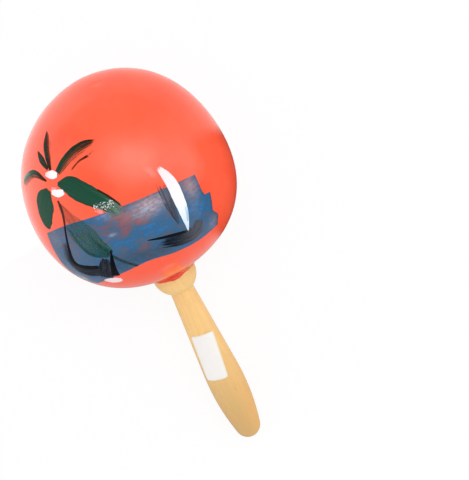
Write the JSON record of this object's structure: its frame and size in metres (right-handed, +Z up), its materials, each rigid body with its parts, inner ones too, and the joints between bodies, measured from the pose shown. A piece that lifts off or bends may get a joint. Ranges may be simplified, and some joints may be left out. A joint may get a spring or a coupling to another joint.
{
  "type": "maraca",
  "caption": "Painted gourd maraca lying on its side: a hollow, nearly round head on a turned wooden handle, with loose seeds inside that rattle when it is shaken.",
  "frame": {"origin": "on the table, under the middle of the lying maraca's box", "axes": "+Z up, +X along the length from the handle's end to the head, +Y to the left of that"},
  "size_m": [0.2026, 0.105, 0.1052],
  "materials": {
    "coral_enamel": "glossy brushed enamel over a dried gourd shell",
    "turned_wood": "bare pale wood, turned and sanded, satin",
    "label_paper": "blank matt paper",
    "dry_seed": "hard dry seed coat, satin",
    "palm_paint": "dark green brushed paint, semi-gloss",
    "sea_paint": "blue scumbled paint, semi-gloss",
    "dark_paint": "black brushed paint, semi-gloss",
    "white_paint": "white dabbed paint, semi-gloss"
  },
  "bodies": {
    "maraca": {"gourd_shell": "coral_enamel", "handle": "turned_wood", "paper_label": "label_paper"},
    "seed_01": {"seed_01": "dry_seed"},
    "seed_02": {"seed_02": "dry_seed"},
    "seed_03": {"seed_03": "dry_seed"},
    "seed_04": {"seed_04": "dry_seed"},
    "seed_05": {"seed_05": "dry_seed"},
    "seed_06": {"seed_06": "dry_seed"},
    "seed_07": {"seed_07": "dry_seed"},
    "seed_08": {"seed_08": "dry_seed"},
    "seed_09": {"seed_09": "dry_seed"},
    "seed_10": {"seed_10": "dry_seed"},
    "seed_11": {"seed_11": "dry_seed"},
    "seed_12": {"seed_12": "dry_seed"},
    "seed_13": {"seed_13": "dry_seed"},
    "seed_14": {"seed_14": "dry_seed"},
    "seed_15": {"seed_15": "dry_seed"},
    "seed_16": {"seed_16": "dry_seed"},
    "seed_17": {"seed_17": "dry_seed"},
    "seed_18": {"seed_18": "dry_seed"},
    "seed_19": {"seed_19": "dry_seed"},
    "seed_20": {"seed_20": "dry_seed"},
    "seed_21": {"seed_21": "dry_seed"},
    "seed_22": {"seed_22": "dry_seed"},
    "seed_23": {"seed_23": "dry_seed"},
    "seed_24": {"seed_24": "dry_seed"}
  },
  "joints": [
    {"name": "seed_01_rattle", "type": "slide", "parent": "maraca", "child": "seed_01", "axis": [0, 0, 1], "range_m": [0, 0.0913]},
    {"name": "seed_02_rattle", "type": "slide", "parent": "maraca", "child": "seed_02", "axis": [0, 0, 1], "range_m": [0, 0.0907]},
    {"name": "seed_03_rattle", "type": "slide", "parent": "maraca", "child": "seed_03", "axis": [0, 0, 1], "range_m": [0, 0.0905]},
    {"name": "seed_04_rattle", "type": "slide", "parent": "maraca", "child": "seed_04", "axis": [0, 0, 1], "range_m": [0, 0.0903]},
    {"name": "seed_05_rattle", "type": "slide", "parent": "maraca", "child": "seed_05", "axis": [0, 0, 1], "range_m": [0, 0.0896]},
    {"name": "seed_06_rattle", "type": "slide", "parent": "maraca", "child": "seed_06", "axis": [0, 0, 1], "range_m": [0, 0.0897]},
    {"name": "seed_07_rattle", "type": "slide", "parent": "maraca", "child": "seed_07", "axis": [0, 0, 1], "range_m": [0, 0.089]},
    {"name": "seed_08_rattle", "type": "slide", "parent": "maraca", "child": "seed_08", "axis": [0, 0, 1], "range_m": [0, 0.0886]},
    {"name": "seed_09_rattle", "type": "slide", "parent": "maraca", "child": "seed_09", "axis": [0, 0, 1], "range_m": [0, 0.0888]},
    {"name": "seed_10_rattle", "type": "slide", "parent": "maraca", "child": "seed_10", "axis": [0, 0, 1], "range_m": [0, 0.0878]},
    {"name": "seed_11_rattle", "type": "slide", "parent": "maraca", "child": "seed_11", "axis": [0, 0, 1], "range_m": [0, 0.0878]},
    {"name": "seed_12_rattle", "type": "slide", "parent": "maraca", "child": "seed_12", "axis": [0, 0, 1], "range_m": [0, 0.0874]},
    {"name": "seed_13_rattle", "type": "slide", "parent": "maraca", "child": "seed_13", "axis": [0, 0, 1], "range_m": [0, 0.0867]},
    {"name": "seed_14_rattle", "type": "slide", "parent": "maraca", "child": "seed_14", "axis": [0, 0, 1], "range_m": [0, 0.0871]},
    {"name": "seed_15_rattle", "type": "slide", "parent": "maraca", "child": "seed_15", "axis": [0, 0, 1], "range_m": [0, 0.0859]},
    {"name": "seed_16_rattle", "type": "slide", "parent": "maraca", "child": "seed_16", "axis": [0, 0, 1], "range_m": [0, 0.0857]},
    {"name": "seed_17_rattle", "type": "slide", "parent": "maraca", "child": "seed_17", "axis": [0, 0, 1], "range_m": [0, 0.0859]},
    {"name": "seed_18_rattle", "type": "slide", "parent": "maraca", "child": "seed_18", "axis": [0, 0, 1], "range_m": [0, 0.0848]},
    {"name": "seed_19_rattle", "type": "slide", "parent": "maraca", "child": "seed_19", "axis": [0, 0, 1], "range_m": [0, 0.0851]},
    {"name": "seed_20_rattle", "type": "slide", "parent": "maraca", "child": "seed_20", "axis": [0, 0, 1], "range_m": [0, 0.0842]},
    {"name": "seed_21_rattle", "type": "slide", "parent": "maraca", "child": "seed_21", "axis": [0, 0, 1], "range_m": [0, 0.0836]},
    {"name": "seed_22_rattle", "type": "slide", "parent": "maraca", "child": "seed_22", "axis": [0, 0, 1], "range_m": [0, 0.0844]},
    {"name": "seed_23_rattle", "type": "slide", "parent": "maraca", "child": "seed_23", "axis": [0, 0, 1], "range_m": [0, 0.0829]},
    {"name": "seed_24_rattle", "type": "slide", "parent": "maraca", "child": "seed_24", "axis": [0, 0, 1], "range_m": [0, 0.0828]}
  ]
}
